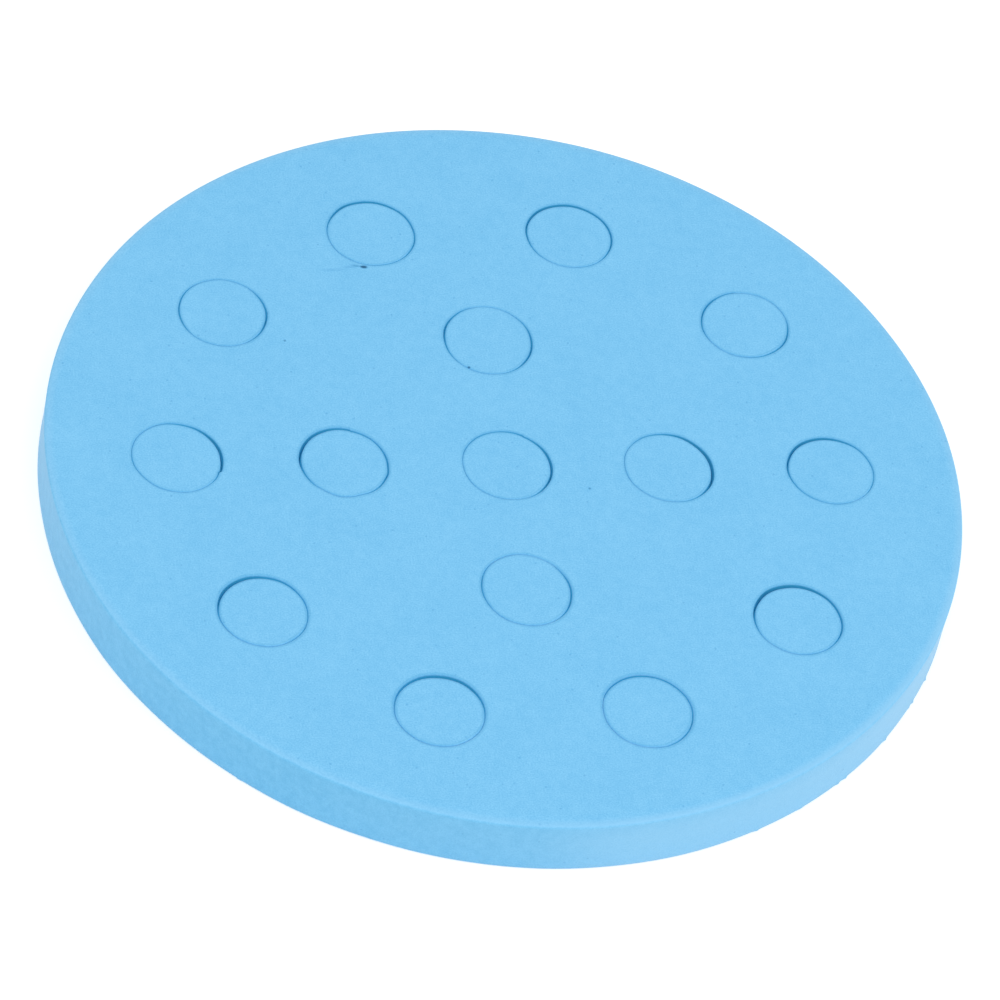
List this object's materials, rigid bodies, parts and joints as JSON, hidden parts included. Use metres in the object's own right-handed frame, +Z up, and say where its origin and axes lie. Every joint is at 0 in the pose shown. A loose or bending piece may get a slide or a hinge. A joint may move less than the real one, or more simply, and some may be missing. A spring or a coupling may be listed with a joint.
{
  "type": "floating microtube rack",
  "caption": "Round closed-cell foam disc with rings of die-cut tube holes, each still holding its knock-out plug; floats microtubes upright in a water bath.",
  "frame": {"origin": "centre of the disc's flat underside", "axes": "+Z up through the thickness of the foam; the row of holes across the middle lies along X"},
  "size_m": [0.112, 0.112, 0.008],
  "materials": {
    "foam": "fine closed-cell foam in light blue, matt, with a fine grain and small pores"
  },
  "bodies": {
    "root": {"disc": "foam", "plug_centre": "foam", "plug_inner_1": "foam", "plug_inner_2": "foam", "plug_inner_3": "foam", "plug_inner_4": "foam", "plug_outer_1": "foam", "plug_outer_2": "foam", "plug_outer_3": "foam", "plug_outer_4": "foam", "plug_outer_5": "foam", "plug_outer_6": "foam", "plug_outer_7": "foam", "plug_outer_8": "foam", "plug_outer_9": "foam", "plug_outer_10": "foam"}
  },
  "joints": []
}
